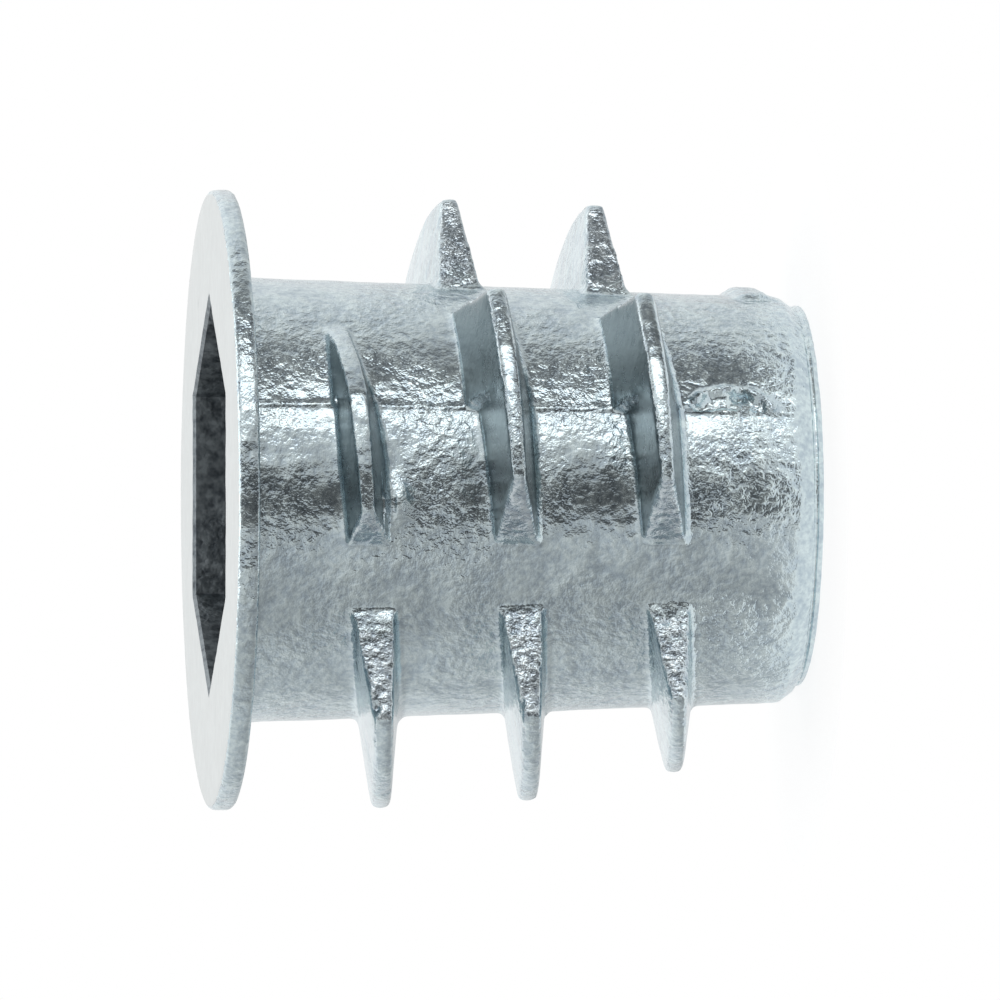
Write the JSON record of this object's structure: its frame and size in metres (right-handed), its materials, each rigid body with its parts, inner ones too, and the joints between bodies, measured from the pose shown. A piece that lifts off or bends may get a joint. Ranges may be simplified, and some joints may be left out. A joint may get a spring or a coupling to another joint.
{
  "type": "threaded insert nut",
  "caption": "Flanged screw-in insert nut for wood: hex socket drive, tapped through hole and a coarse outer thread broken into drafted teeth.",
  "frame": {"origin": "on the axis, at the tip of the entry lip that the nut stands on", "axes": "+Z along the axis, towards the flange; +X through a corner of the hex socket"},
  "size_m": [0.0144, 0.0144, 0.0139],
  "materials": {
    "cast_zinc": "bright cast zinc, mottled"
  },
  "bodies": {
    "root": {"insert_nut": "cast_zinc"}
  },
  "joints": []
}
